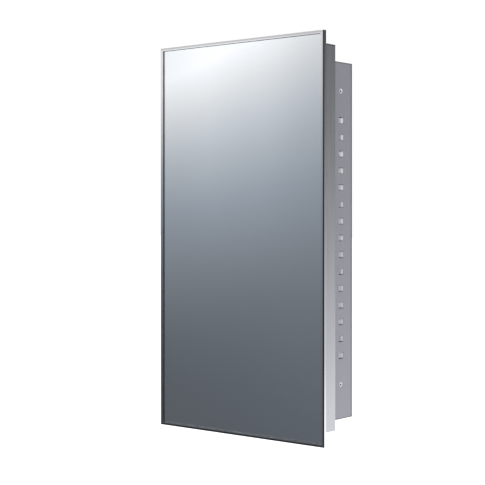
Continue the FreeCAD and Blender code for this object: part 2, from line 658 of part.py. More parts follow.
pin = new_body("hinge_pin", (HINGE_X, HINGE_Y, "0"))
shank = circles(pin, "XY_Plane", [("0", "0")], "Sizes.pin", "-Sizes.hinge_half-Sizes.pin_past")
add(pin, shank, "2*(Sizes.hinge_half+Sizes.pin_past)")
PIN_TIP = "(Sizes.hinge_half+Sizes.pin_head_gap+Sizes.pin_head_tall)"
for start in ("Sizes.hinge_half+Sizes.pin_head_gap", "-" + PIN_TIP):
    head = circles(pin, "XY_Plane", [("0", "0")], "Sizes.pin_head", start)
    add(pin, head, "Sizes.pin_head_tall")
tip = size(PIN_TIP)
round_edges(pin, rim_of(tip, "z", size("Sizes.pin_head")), "Sizes.pin_head_tall*0.6")
round_edges(pin, rim_of(-tip, "z", size("Sizes.pin_head")), "Sizes.pin_head_tall*0.6")

# ---------------------------------------------------------------- fasteners


def fasteners(body, role, centres, parts):
    """Turned steps on every centre: each step is a radius, where it starts, how long it is."""
    for radius, start, length in parts:
        add(body, circles(body, role, centres, radius, start), length)


rim_rivets = new_body("collar_rivets", ("0", COLLAR_FRONT, "0"))
spots = [(f"{sign}*{RIM_MIDDLE}", z) for sign in (-1, 1) for z in RIM_RIVET_HEIGHTS]
spots += [(x, z) for z in (TOP_RIM, BOTTOM_RIM) for x in RIM_RIVET_ACROSS]
fasteners(
    rim_rivets,
    "XZ_Plane",
    spots,
    [
        ("Sizes.rivet_shank", "-" + TWO_SHEETS, TWO_SHEETS),
        ("Sizes.rivet_head", "0", "Sizes.rivet_proud"),
        ("Sizes.rivet_head*0.9", f"-{TWO_SHEETS}-Sizes.rivet_proud", "Sizes.rivet_proud"),
    ],
)
round_edges(
    rim_rivets,
    rim_of(-size("Sizes.rivet_proud"), "y", size("Sizes.rivet_head")),
    "Sizes.rivet_proud*0.8",
)

corner_rivets = new_body("case_corner_rivets", ("0", "-Sizes.collar_deep/2", "0"))
spots = [("0", z) for z in CORNER_RIVET_HEIGHTS]
for sign in (-1, 1):
    outward = "Sizes.case_half" if sign > 0 else "(-Sizes.case_half-Sizes.rivet_proud)"
    inward = (
        "(Sizes.case_half-2*Sizes.skin-Sizes.rivet_proud)"
        if sign > 0
        else "(-Sizes.case_half+2*Sizes.skin)"
    )
    middle = "(Sizes.case_half-2*Sizes.skin)" if sign > 0 else "(-Sizes.case_half)"
    fasteners(
        corner_rivets,
        "YZ_Plane",
        spots,
        [
            ("Sizes.rivet_shank", middle, TWO_SHEETS),
            ("Sizes.rivet_head", inward, "Sizes.rivet_proud"),
            ("Sizes.rivet_head*0.9", outward, "Sizes.rivet_proud"),
        ],
    )

back_rivets = new_body("case_back_rivets", ("0", BACK_RIVET_Y, "0"))
spots = [(x, "0") for x in RIM_RIVET_ACROSS]
for sign, level in ((1, "Sizes.case_rise"), (-1, "Sizes.case_drop")):
    if sign > 0:
        shank_at = f"({level}-{TWO_SHEETS})"
        outside = level
        inside = f"({level}-{TWO_SHEETS}-Sizes.rivet_proud)"
    else:
        shank_at = f"(-{level})"
        outside = f"(-{level}-Sizes.rivet_proud)"
        inside = f"(-{level}+{TWO_SHEETS})"
    fasteners(
        back_rivets,
        "XY_Plane",
        spots,
        [
            ("Sizes.rivet_shank", shank_at, TWO_SHEETS),
            ("Sizes.rivet_head", outside, "Sizes.rivet_proud"),
            ("Sizes.rivet_head*0.9", inside, "Sizes.rivet_proud"),
        ],
    )

leaf_rivets = new_body("hinge_rivets_case", ("-Sizes.collar_half", CASE_LEAF_RIVET_Y, "0"))
spots = [("0", z) for z in LEAF_RIVET_HEIGHTS]
fasteners(
    leaf_rivets,
    "YZ_Plane",
    spots,
    [
        ("Sizes.rivet_shank", "-Sizes.leaf_thick", "Sizes.leaf_thick+Sizes.skin"),
        ("Sizes.rivet_head", "Sizes.skin", "Sizes.rivet_proud"),
    ],
)

door_rivets = new_body("hinge_rivets_door", (DOOR_LEAF_RIVET_X, PAN_BACK, "0"))
fasteners(
    door_rivets,
    "XZ_Plane",
    spots,
    [
        ("Sizes.rivet_shank", "-Sizes.leaf_thick", "Sizes.leaf_thick+Sizes.pan_thick"),
        (
            "Sizes.rivet_head",
            "-Sizes.leaf_thick-Sizes.flush_proud",
            "Sizes.flush_proud",
        ),
    ],
)

# ---------------------------------------------------------------- catch and bumpers

CATCH = (CASE_INSIDE, COLLAR_FRONT, "0")
housing = new_body("catch_housing", CATCH)
block = box("-Sizes.catch_wide", "0", "Sizes.catch_inset", "Sizes.catch_inset+Sizes.catch_long")
add(housing, outline(housing, "XY_Plane", block, "-Sizes.catch_half"), "2*Sizes.catch_half")
round_edges(
    housing,
    lambda middle, run, edge: abs(run.y) > 0.999 and middle.x < -1,
    "Sizes.catch_wall",
)
hollow = box(
    "-Sizes.catch_wide/2-Sizes.magnet_wide/2-Sizes.pole_thick-Sizes.catch_fit",
    "-Sizes.catch_wide/2+Sizes.magnet_wide/2+Sizes.pole_thick+Sizes.catch_fit",
    "Sizes.catch_inset-Sizes.cut_past",
    "Sizes.catch_inset+Sizes.catch_long-Sizes.catch_wall*2",
)
hollow = outline(housing, "XY_Plane", hollow, "-Sizes.magnet_half-2*Sizes.catch_fit")
remove(housing, hollow, "2*(Sizes.magnet_half+2*Sizes.catch_fit)")
holes = [(f"{CATCH_SCREW_Y}-{COLLAR_FRONT}", f"{sign}*Sizes.catch_screw_up") for sign in (-1, 1)]
holes = circles(housing, "YZ_Plane", holes, "Sizes.catch_screw", "-Sizes.catch_wide-Sizes.cut_past")
remove(housing, holes, "Sizes.catch_wide+2*Sizes.cut_past")

magnet = new_body("catch_magnet", CATCH)
block = box(
    "-Sizes.catch_wide/2-Sizes.magnet_wide/2",
    "-Sizes.catch_wide/2+Sizes.magnet_wide/2",
    "Sizes.catch_inset+Sizes.magnet_inset",
    "Sizes.catch_inset+Sizes.catch_long-Sizes.catch_wall*2",
)
add(magnet, outline(magnet, "XY_Plane", block, "-Sizes.magnet_half"), "2*Sizes.magnet_half")

poles = new_body("catch_pole_plates", CATCH)
for sign in (-1, 1):
    near = f"-Sizes.catch_wide/2+{sign}*Sizes.magnet_wide/2"
    far = f"-Sizes.catch_wide/2+{sign}*(Sizes.magnet_wide/2+Sizes.pole_thick)"
    plate = box(
        near, far, "-Sizes.pole_proud", "Sizes.catch_inset+Sizes.catch_long-Sizes.catch_wall*2"
    )
    plate = outline(poles, "XY_Plane", plate, "-Sizes.magnet_half+Sizes.pole_short")
    add(poles, plate, "2*Sizes.magnet_half-2*Sizes.pole_short")

catch_screws = new_body("catch_screws", (CASE_INSIDE, CATCH_SCREW_Y, "0"))
spots = [("0", f"{sign}*Sizes.catch_screw_up") for sign in (-1, 1)]
fasteners(
    catch_screws,
    "YZ_Plane",
    spots,
    [
        (
            "Sizes.catch_screw",
            "-Sizes.catch_wide",
            "Sizes.catch_wide+Sizes.skin+Sizes.catch_screw_past",
        ),
        (
            "Sizes.catch_screw_head",
            "-Sizes.catch_wide-Sizes.catch_screw_proud",
            "Sizes.catch_screw_proud",
        ),
    ],
)
round_edges(
    catch_screws,
    rim_of(-size("Sizes.catch_wide+Sizes.catch_screw_proud"), "x", size("Sizes.catch_screw_head")),
    "Sizes.catch_screw_proud*0.6",
)

bumpers = new_body("door_bumpers", ("0", COLLAR_FRONT, "0"))
spots = [
    (f"{across}*{RIM_MIDDLE}", f"{up}*(Sizes.collar_drop-Sizes.bumper_inset)")
    for across in (-1, 1)
    for up in (-1, 1)
]
fasteners(bumpers, "XZ_Plane", spots, [("Sizes.bumper", "0", "Sizes.bumper_tall")])
round_edges(bumpers, rim_of(-size("Sizes.bumper_tall"), "y", size("Sizes.bumper")), "Sizes.bumper_tall*0.4")

# ---------------------------------------------------------------- the door

DOOR_RIVET_UP = [f"{step}*Sizes.door_tall*0.2" for step in (-2, -1, 0, 1, 2)]
DOOR_RIVET_ACROSS = [f"{step}*Sizes.door_wide*0.3" for step in (-1, 0, 1)]
RIVET_INSET = "((Sizes.frame_return+Sizes.frame_sheet)/2)"
INNER_BEND = "(Sizes.lip_bend-Sizes.frame_sheet)"


def frame_section(hand):
    """The rolled channel: outer wall, hemmed front lip and rear flange."""
    across = [
        "0",
        "0",
        f"-{hand}*Sizes.frame_return",
        f"-{hand}*Sizes.frame_return",
        f"-{hand}*Sizes.frame_sheet",
        f"-{hand}*Sizes.frame_sheet",
        f"-{hand}*Sizes.lip_wide",
        f"-{hand}*Sizes.lip_wide",
    ]
    deep = [DOOR_FRONT, DOOR_BACK, DOOR_BACK, PAN_BACK, PAN_BACK, GLASS_FRONT, GLASS_FRONT, DOOR_FRONT]
    return across, deep


def frame_side(label, hand):
    """An upright of the door frame with both ends mitred."""
    body = new_body(label, (f"{hand}*Sizes.door_wide/2", "0", "0"))
    across, deep = frame_section(hand)
    section = list(zip(across, deep))
    add(body, outline(body, "XY_Plane", section, "-Sizes.door_tall/2"), "Sizes.door_tall")
    inside = -hand * size("Sizes.frame_sheet")
    round_edges(body, long_edge(0, size(DOOR_FRONT), "xy", "z"), "Sizes.lip_bend")
    round_edges(body, long_edge(0, size(DOOR_BACK), "xy", "z"), "Sizes.frame_sheet")
    round_edges(body, long_edge(inside, size(GLASS_FRONT), "xy", "z"), INNER_BEND)
    for up in (-1, 1):
        triangle = [
            ("0", f"{up}*Sizes.door_tall/2"),
            (f"-{hand}*Sizes.mitre_reach", f"{up}*(Sizes.door_tall/2-Sizes.mitre_reach)"),
            (f"-{hand}*Sizes.mitre_reach", f"{up}*(Sizes.door_tall/2+Sizes.cut_past)"),
            ("0", f"{up}*(Sizes.door_tall/2+Sizes.cut_past)"),
        ]
        remove(body, outline(body, "XZ_Plane", triangle, "0"), "Sizes.door_front+5")
    holes = [(f"-{hand}*{RIVET_INSET}", z) for z in DOOR_RIVET_UP]
    holes = circles(body, "XZ_Plane", holes, "Sizes.frame_rivet", f"-{DOOR_BACK}-Sizes.cut_past")
    remove(body, holes, "Sizes.frame_sheet+2*Sizes.cut_past")


def frame_end(label, hand):
    """The top or bottom of the door frame with both ends mitred."""
    body = new_body(label, ("0", "0", f"{hand}*Sizes.door_tall/2"))
    across, deep = frame_section(hand)
    section = list(zip(deep, across))
    add(body, outline(body, "YZ_Plane", section, "-Sizes.door_wide/2"), "Sizes.door_wide")
    inside = -hand * size("Sizes.frame_sheet")
    round_edges(body, long_edge(size(DOOR_FRONT), 0, "yz", "x"), "Sizes.lip_bend")
    round_edges(body, long_edge(size(DOOR_BACK), 0, "yz", "x"), "Sizes.frame_sheet")
    round_edges(body, long_edge(size(GLASS_FRONT), inside, "yz", "x"), INNER_BEND)
    for side in (-1, 1):
        triangle = [
            (f"{side}*Sizes.door_wide/2", "0"),
            (f"{side}*(Sizes.door_wide/2-Sizes.mitre_reach)", f"-{hand}*Sizes.mitre_reach"),
            (f"{side}*(Sizes.door_wide/2+Sizes.cut_past)", f"-{hand}*Sizes.mitre_reach"),
            (f"{side}*(Sizes.door_wide/2+Sizes.cut_past)", "0"),
        ]
        remove(body, outline(body, "XZ_Plane", triangle, "0"), "Sizes.door_front+5")
    holes = [(x, f"-{hand}*{RIVET_INSET}") for x in DOOR_RIVET_ACROSS]
    holes = circles(body, "XZ_Plane", holes, "Sizes.frame_rivet", f"-{DOOR_BACK}-Sizes.cut_past")
    remove(body, holes, "Sizes.frame_sheet+2*Sizes.cut_past")


frame_side("door_frame_right", 1)
frame_side("door_frame_left", -1)
frame_end("door_frame_top", 1)
frame_end("door_frame_bottom", -1)


def door_sheet(label, margin, front, thick):
    """A flat sheet filling the door frame, by its margin to the outside of the frame."""
    body = new_body(label, ("0", front, "0"))
    wide = f"(Sizes.door_wide/2-{margin})"
    tall = f"(Sizes.door_tall/2-{margin})"
    face = box("-" + wide, wide, "-" + tall, tall)
    add(body, outline(body, "XZ_Plane", face, "-" + thick), thick)
    return body


GLASS_MARGIN = "(Sizes.frame_sheet+Sizes.glass_gap)"
door_sheet("mirror_glass", GLASS_MARGIN, GLASS_FRONT, "Sizes.glass_thick")
felt_front = f"({GLASS_FRONT}+Sizes.glass_thick)"
door_sheet("mirror_backing", GLASS_MARGIN, felt_front, "Sizes.felt_thick")
pan = door_sheet("door_back_pan", "(Sizes.frame_sheet+Sizes.pan_clear)", PAN_FRONT, "Sizes.pan_thick")
frame_spots = [
    (f"{sign}*(Sizes.door_wide/2-{RIVET_INSET})", z) for sign in (-1, 1) for z in DOOR_RIVET_UP
]
frame_spots += [
    (x, f"{sign}*(Sizes.door_tall/2-{RIVET_INSET})") for sign in (-1, 1) for x in DOOR_RIVET_ACROSS
]
leaf_spots = [(DOOR_LEAF_RIVET_X, z) for z in LEAF_RIVET_HEIGHTS]
STRIKE_X = f"({CASE_INSIDE}-Sizes.catch_wide/2)"
strike_spots = [(STRIKE_X, f"{sign}*(Sizes.strike_half-Sizes.strike_rivet_in)") for sign in (-1, 1)]
for spots, radius in (
    (frame_spots, "Sizes.frame_rivet"),
    (leaf_spots, "Sizes.rivet_shank"),
    (strike_spots, "Sizes.frame_rivet"),
):
    holes = circles(pan, "XZ_Plane", spots, radius, "-Sizes.pan_thick-Sizes.cut_past")
    remove(pan, holes, "Sizes.pan_thick+2*Sizes.cut_past")

keys = new_body("frame_corner_keys", ("0", f"{GLASS_FRONT}+{INNER_BEND}+Sizes.key_gap", "0"))
for side in (-1, 1):
    for up in (-1, 1):
        corner_x = f"{side}*(Sizes.door_wide/2-Sizes.frame_sheet"
        corner_z = f"{up}*(Sizes.door_tall/2-Sizes.frame_sheet"
        angle = [
            (corner_x + ")", corner_z + ")"),
            (corner_x + "-Sizes.key_leg)", corner_z + ")"),
            (corner_x + "-Sizes.key_leg)", corner_z + "-Sizes.key_thick)"),
            (corner_x + "-Sizes.key_thick)", corner_z + "-Sizes.key_thick)"),
            (corner_x + "-Sizes.key_thick)", corner_z + "-Sizes.key_leg)"),
            (corner_x + ")", corner_z + "-Sizes.key_leg)"),
        ]
        add(keys, outline(keys, "XZ_Plane", angle, "-Sizes.key_wide"), "Sizes.key_wide")

frame_rivets = new_body("door_frame_rivets", ("0", DOOR_BACK, "0"))
fasteners(
    frame_rivets,
    "XZ_Plane",
    frame_spots,
    [
        ("Sizes.frame_rivet", "0", "Sizes.frame_sheet+Sizes.pan_thick"),
        ("Sizes.frame_rivet_head", "-Sizes.flat_proud", "Sizes.flat_proud"),
    ],
)
round_edges(
    frame_rivets,
    rim_of(size("Sizes.flat_proud"), "y", size("Sizes.frame_rivet_head")),
    "Sizes.flat_proud*0.8",
)

strike = new_body("catch_strike", (STRIKE_X, PAN_BACK, "0"))
face = box("-Sizes.strike_wide/2", "Sizes.strike_wide/2", "-Sizes.strike_half", "Sizes.strike_half")
add(strike, outline(strike, "XZ_Plane", face, "-Sizes.strike_thick"), "Sizes.strike_thick")
round_edges(strike, lambda middle, run, edge: abs(run.y) > 0.999, "Sizes.strike_corner")
holes = [("0", f"{sign}*(Sizes.strike_half-Sizes.strike_rivet_in)") for sign in (-1, 1)]
holes = circles(strike, "XZ_Plane", holes, "Sizes.frame_rivet", "-Sizes.strike_thick-Sizes.cut_past")
remove(strike, holes, "Sizes.strike_thick+2*Sizes.cut_past")

strike_rivets = new_body("catch_strike_rivets", (STRIKE_X, PAN_BACK, "0"))
spots = [("0", f"{sign}*(Sizes.strike_half-Sizes.strike_rivet_in)") for sign in (-1, 1)]
fasteners(
    strike_rivets,
    "XZ_Plane",
    spots,
    [
        ("Sizes.frame_rivet", "-Sizes.strike_thick", "Sizes.strike_thick+Sizes.pan_thick"),
        (
            "Sizes.frame_rivet_head",
            "-Sizes.strike_thick-Sizes.flat_proud",
            "Sizes.flat_proud",
        ),
    ],
)

# ---------------------------------------------------------------- check and export

doc.recompute()
for item in doc.Objects:
    if any(word in ("Invalid", "Error") for word in item.State):
        raise ValueError(f"{item.Label}: {item.State}")
os.makedirs("parts", exist_ok=True)
for body in made:
    if body.Shape.isNull() or not body.Shape.isValid() or not body.Shape.Solids:
        raise ValueError(body.Label + " has no valid shape")
    body.Shape.exportStep(f"parts/{body.Label}.step")
    bounds = body.Shape.BoundBox
    print(
        f"{body.Label}: {len(body.Shape.Solids)} solids, "
        f"{bounds.XLength:.1f} x {bounds.YLength:.1f} x {bounds.ZLength:.1f} mm"
    )
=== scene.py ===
import math
import bmesh
import bpy
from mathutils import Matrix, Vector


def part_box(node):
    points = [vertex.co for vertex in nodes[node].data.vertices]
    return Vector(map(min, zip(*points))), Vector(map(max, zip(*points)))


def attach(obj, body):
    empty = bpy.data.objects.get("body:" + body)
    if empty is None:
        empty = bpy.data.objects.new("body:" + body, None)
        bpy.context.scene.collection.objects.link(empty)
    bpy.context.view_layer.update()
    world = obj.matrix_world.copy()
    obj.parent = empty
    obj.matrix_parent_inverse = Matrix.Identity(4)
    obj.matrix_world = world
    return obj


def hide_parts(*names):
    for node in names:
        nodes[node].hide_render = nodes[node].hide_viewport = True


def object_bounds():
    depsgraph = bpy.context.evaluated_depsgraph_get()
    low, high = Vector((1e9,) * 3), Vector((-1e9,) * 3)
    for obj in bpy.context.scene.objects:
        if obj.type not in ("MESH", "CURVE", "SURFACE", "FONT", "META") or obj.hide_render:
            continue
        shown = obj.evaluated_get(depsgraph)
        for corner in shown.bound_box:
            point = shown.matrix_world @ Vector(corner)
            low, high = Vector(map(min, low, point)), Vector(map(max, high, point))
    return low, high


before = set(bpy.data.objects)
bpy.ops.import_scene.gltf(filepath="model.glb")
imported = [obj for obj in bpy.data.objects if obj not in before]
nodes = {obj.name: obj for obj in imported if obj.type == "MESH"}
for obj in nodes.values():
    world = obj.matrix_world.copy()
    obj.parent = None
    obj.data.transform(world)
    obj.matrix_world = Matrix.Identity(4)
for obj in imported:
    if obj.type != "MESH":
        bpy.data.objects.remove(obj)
cad_low, cad_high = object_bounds()

# ---------------------------------------------------------------- places on the part

# All places are in metres.  The door, the collar and the case come from the frame's own boxes.
# SHEET is the thickness of the case's sheet, and CASE_FACE the outside of its sides.
SHEET = 0.001
DOOR_LEFT, DOOR_FRONT, DOOR_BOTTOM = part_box("door_frame_left")[0]
DOOR_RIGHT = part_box("door_frame_right")[1][0]
DOOR_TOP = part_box("door_frame_top")[1][2]
COLLAR_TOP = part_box("collar_top")[1][2]
COLLAR_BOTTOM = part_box("collar_bottom")[0][2]
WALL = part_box("collar_right")[1][1]
CASE_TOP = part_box("case_side_right")[1][2]
CASE_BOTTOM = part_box("case_side_right")[0][2]
CASE_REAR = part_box("case_side_right")[1][1]
CASE_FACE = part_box("case_back")[1][0] + SHEET
SHELF_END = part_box("shelf_1")[1][0]
# The middle of the rear column of shelf rests, behind the wall plane.
REST_MIDDLE = WALL + 0.036
# The distance from the middle, up or down, past the last rest and short of the dimples.
DIMPLE_START = (0.255, 0.265)


def inside(edge, *distances):
    """Places at distances from an edge of the part toward its middle."""
    return [edge - math.copysign(distance, edge) for distance in distances]


# ---------------------------------------------------------------- node helpers


def rgba(colour):
    """A colour of three numbers as four."""
    return (colour[0], colour[1], colour[2], 1.0)


class Tree:
    """A short way to add and join shader nodes."""

    def __init__(self, block):
        block.use_nodes = True
        self.tree = block.node_tree
        self.tree.nodes.clear()

    def add(self, kind, **values):
        """Adds a node; names of its properties and inputs are set from the values."""
        node = self.tree.nodes.new(kind)
        for name, value in values.items():
            if hasattr(node, name):
                setattr(node, name, value)
            else:
                node.inputs[name.replace("_", " ")].default_value = value
        return node

    def join(self, output, socket):
        """Links an output socket to an input socket."""
        self.tree.links.new(output, socket)

    def math(self, operation, first, second=0.0):
        """A maths node of sockets or numbers; gives its output."""
        node = self.add("ShaderNodeMath", operation=operation)
        for index, value in enumerate((first, second)):
            if hasattr(value, "links"):
                self.join(value, node.inputs[index])
            else:
                node.inputs[index].default_value = value
        return node.outputs[0]

    def ramp(self, factor, stops, smooth=False):
        """A colour ramp over (position, colour) stops; gives its colour."""
        node = self.add("ShaderNodeValToRGB")
        ramp = node.color_ramp
        ramp.interpolation = "EASE" if smooth else "LINEAR"
        while len(ramp.elements) < len(stops):
            ramp.elements.new(0.5)
        for element, (position, colour) in zip(ramp.elements, sorted(stops)):
            element.position = position
        for element, (position, colour) in zip(ramp.elements, sorted(stops)):
            element.color = rgba(colour)
        self.join(factor, node.inputs[0])
        return node.outputs[0]

    def spread(self, value, low, high):
        """Maps a 0 to 1 socket to a range."""
        node = self.add("ShaderNodeMapRange")
        self.join(value, node.inputs[0])
        node.inputs[3].default_value = low
        node.inputs[4].default_value = high
        return node.outputs[0]

    def split(self, output):
        """The X, Y and Z outputs of a texture coordinate, in the piece's own frame."""
        where = self.add("ShaderNodeTexCoord")
        parts = self.add("ShaderNodeSeparateXYZ")
        self.join(where.outputs[output], parts.inputs[0])
        return parts.outputs

    def band(self, value, start, end):
        """A mask that goes from 0 at one value to 1 at another."""
        node = self.add("ShaderNodeMapRange", interpolation_type="SMOOTHSTEP")
        self.join(value, node.inputs[0])
        node.inputs[1].default_value = start
        node.inputs[2].default_value = end
        return node.outputs[0]

    def noise(self, stretch, scale, detail):
        """Noise on object coordinates, drawn out by a scale along each axis."""
        where = self.add("ShaderNodeTexCoord")
        mapping = self.add("ShaderNodeMapping")
        mapping.inputs["Scale"].default_value = stretch
        self.join(where.outputs["Object"], mapping.inputs["Vector"])
        node = self.add("ShaderNodeTexNoise")
        node.inputs["Scale"].default_value = scale
        node.inputs["Detail"].default_value = detail
        self.join(mapping.outputs[0], node.inputs["Vector"])
        return node.outputs["Fac"]

    def blend(self, factor, first, second, kind="MIX"):
        """Mixes two colours by a factor socket or number."""
        node = self.add("ShaderNodeMix", data_type="RGBA", blend_type=kind)
        for index, value in ((0, factor), (6, first), (7, second)):
            if hasattr(value, "links"):
                self.join(value, node.inputs[index])
            elif index == 0:
                node.inputs[0].default_value = value
            else:
                node.inputs[index].default_value = rgba(value)
        return node.outputs[2]


def product(tree, *masks):
    """Masks multiplied together."""
    total = masks[0]
    for mask in masks[1:]:
        total = tree.math("MULTIPLY", total, mask)
    return total


# How strongly each line is painted, from 0 to 1.  The cut is how much the bend's line is weakened
# along the right edge, and the foot's line goes from its first strength to its second.
RIGHT_BEND_CUT = 0.75
ARCH_DARK = 0.3
LEFT_DARK = 0.97
FOOT_DARK = (0.45, 0.97)
HEAD_DARK = 0.3
WALL_DARK = 0.8
# The lines are at full strength up to this far above the foot of the door, and fade toward its
# head.
FOOT_FULL = 0.081


def frame_shadow(tree):
    """The painted shade line along the frame: its rolled bend, the front of its side, the rim of its
    lip.
    """
    x, y, z = tree.split("Object")
    turn_x, turn_y, turn_z = tree.split("Normal")
    forward = tree.math("MULTIPLY", turn_y, -1.0)
    up_or_down = tree.math("ABSOLUTE", turn_z)
    outward = tree.band(tree.math("MULTIPLY", turn_x, tree.math("SIGN", x)), 0.6, 0.9)
    low_down = inside(DOOR_BOTTOM, FOOT_FULL)[0]
    height = tree.spread(tree.band(z, inside(DOOR_TOP, 0.021)[0], low_down), 0.86, 1.0)
    # The rolled bend between lip and side, weaker where it turns forward along the right edge.
    below = tree.band(turn_z, 0.5, 0.2)
    bend = tree.ramp(forward, [(0.08, (0, 0, 0)), (0.25, (1, 1, 1)), (0.965, (1, 1, 1)),
                               (0.995, (0, 0, 0))])
    facing = product(tree, tree.band(x, *inside(DOOR_RIGHT, 0.0132, 0.0072)),
                     tree.band(forward, 0.72, 0.9), RIGHT_BEND_CUT)
    bend = product(tree, bend, below, height, tree.math("SUBTRACT", 1.0, facing))
    # The bend where it turns up along the head of the door.
    arch = product(tree, tree.band(turn_z, 0.3, 0.6), tree.band(forward, 0.99, 0.9),
                   tree.band(forward, 0.2, 0.4), ARCH_DARK)
    # The front of the side, and the end of the side that stands above the collar.
    side = product(tree, outward, tree.band(y, *inside(DOOR_FRONT, 0.0040, 0.0028)), height)
    crown = product(tree, outward, tree.band(z, *inside(COLLAR_TOP, 0.0040, 0.0)),
                    tree.band(y, *inside(DOOR_FRONT, 0.0058, 0.0070)))
    # The front face of the lip: its left, foot and head.
    left = product(tree, tree.band(x, *inside(DOOR_LEFT, 0.0058, 0.0046)),
                   tree.band(z, inside(DOOR_TOP, 0.041)[0], low_down), LEFT_DARK)
    foot = tree.spread(tree.band(z, *inside(DOOR_BOTTOM, 0.0032, 0.0024)), *FOOT_DARK)
    foot = product(tree, foot, tree.band(z, *inside(DOOR_BOTTOM, 0.0044, 0.0042)))
    head = product(tree, tree.band(z, *inside(DOOR_TOP, 0.0044, 0.0038)), HEAD_DARK)
    flat = tree.band(forward, 0.9, 0.99)
    rim = product(tree, flat, tree.math("MAXIMUM", tree.math("MAXIMUM", left, foot), head))
    # The inner wall of the channel at head and foot.
    wall = product(tree, tree.band(up_or_down, 0.8, 0.95),
                   tree.band(tree.math("ABSOLUTE", z), *inside(DOOR_TOP, 0.0015, 0.0020)),
                   tree.band(y, *inside(DOOR_FRONT, 0.0060, 0.0050)), WALL_DARK)
    rim = tree.math("MAXIMUM", rim, wall)
    rolled = tree.math("MAXIMUM", bend, arch)
    return tree.math("MAXIMUM", tree.math("MAXIMUM", rolled, rim), tree.math("MAXIMUM", side, crown))


def pressed_highlight(tree):
    """Painted highlights where the case side is pressed in: the slopes of the rests and the dimples
    are painted near white.
    """
    x, y, z = tree.split("Object")
    inward = tree.band(tree.math("ABSOLUTE", x), *inside(CASE_FACE, 0.0003, 0.0009))
    turned = tree.math("MULTIPLY", tree.split("Normal")[0], tree.math("SIGN", x))
    outward = tree.band(turned, 0.2, 0.5)
    flat = tree.spread(tree.band(turned, 0.80, 0.95), 1.0, 0.30)
    nearer = tree.band(y, REST_MIDDLE + 0.0010, REST_MIDDLE - 0.0002)
    flat = tree.math("MAXIMUM", flat, tree.spread(nearer, 0.0, 0.75))
    # The painted highlight on the rests grows stronger toward the top.
    height = tree.spread(tree.band(z, -0.05, 0.24), 0.8, 1.0)
    ends = tree.band(tree.math("ABSOLUTE", z), *DIMPLE_START)
    rests = product(tree, flat, height)
    return product(tree, inward, outward, tree.math("MAXIMUM", rests, ends))


def rear_shade_line(tree):
    """A painted shade line where the case side is bent over along its rear."""
    y = tree.split("Object")[1]
    sideways = tree.band(tree.math("ABSOLUTE", tree.split("Normal")[0]), 0.5, 0.9)
    return product(tree, tree.band(y, *inside(CASE_REAR, 0.0058, 0.0044)), sideways, 0.75)


def surface(name, base, rough, metal, grain, grain_scale, vary=0.06, relief=0.02, depth=0.0002,
            speck=None, coat=0.0, masks=(), shade_lines=()):
    """A material whose colour, roughness and relief follow a stretched grain and a soft mottle.

    base is the colour, rough the lowest and highest roughness, grain the stretch of the fine
    pattern along X, Y and Z.  masks are (mask function, colour) pairs laid over the colour.
    shade_lines are (axis, start, end, colour, strength) lines of painted shade along the sheet's
    bends and ends.
    """
    material = bpy.data.materials.new(name)
    tree = Tree(material)
    out = tree.add("ShaderNodeOutputMaterial")
    shader = tree.add("ShaderNodeBsdfPrincipled")
    tree.join(shader.outputs[0], out.inputs[0])
    fine = tree.noise(grain, grain_scale, 5.0)
    mottle = tree.noise((1, 1, 1), 9.0, 3.0)
    dark = tuple(c * (1 - vary) for c in base)
    light = tuple(min(1.0, c * (1 + vary)) for c in base)
    colour = tree.ramp(fine, [(0.3, dark), (0.7, light)])
    colour = tree.blend(tree.spread(mottle, 0.0, 0.5), colour, tuple(c * 0.94 for c in base))
    if speck:
        colour = tree.blend(tree.ramp(tree.noise((1, 1, 1), 260.0, 2.0),
                                      [(0.62, (0, 0, 0)), (0.7, (1, 1, 1))]), colour, speck)
    for mask, tint in masks:
        colour = tree.blend(mask(tree), colour, tint)
    # Lines of painted shade along bends and ends.
    for axis, start, end, tint, strength in shade_lines:
        line = tree.spread(tree.band(tree.split("Object")[axis], start, end), 0.0, strength)
        colour = tree.blend(line, colour, tint)
    tree.join(colour, shader.inputs["Base Color"])
    tree.join(tree.spread(fine, rough[0], rough[1]), shader.inputs["Roughness"])
    shader.inputs["Metallic"].default_value = metal
    shader.inputs["Coat Weight"].default_value = coat
    bump = tree.add("ShaderNodeBump")
    bump.inputs["Strength"].default_value = relief
    bump.inputs["Distance"].default_value = depth
    tree.join(fine, bump.inputs["Height"])
    tree.join(bump.outputs[0], shader.inputs["Normal"])
    return material


UPRIGHT = (1.0, 1.0, 0.02)
LEVEL = (0.02, 1.0, 1.0)
EVEN = (1.0, 1.0, 1.0)

# Colours of painted shade: the dark lines along the frame's bends and the collar's top, and the
# fainter lines along the case's and collar's edges.
BEND_DARK = (0.012, 0.0125, 0.014)
EDGE_SHADE = (0.10, 0.10, 0.105)
# The collar's sides are painted with a dark shade line along the top bend and a fainter one along
# the foot.
satin_up = surface("satin_steel_upright", (0.66, 0.67, 0.69), (0.22, 0.36), 1.0, UPRIGHT, 260.0,
                   vary=0.07, relief=0.05,
                   shade_lines=[(2, *inside(COLLAR_TOP, 0.0028, 0.0012), BEND_DARK, 0.95),
                         (2, *inside(COLLAR_BOTTOM, 0.0014, 0.0002), EDGE_SHADE, 0.3)])
satin_level = surface("satin_steel_level", (0.66, 0.67, 0.69), (0.22, 0.36), 1.0, LEVEL, 260.0,
                      vary=0.05, relief=0.05)
bright_up = surface("bright_steel_upright", (0.80, 0.805, 0.815), (0.06, 0.13), 1.0, UPRIGHT, 500.0,
                    vary=0.03, relief=0.02, masks=[(frame_shadow, BEND_DARK)])
bright_level = surface("bright_steel_level", (0.80, 0.805, 0.815), (0.06, 0.13), 1.0, LEVEL, 500.0,
                       vary=0.03, relief=0.02, masks=[(frame_shadow, BEND_DARK)])
case_grey = (0.362, 0.364, 0.400)
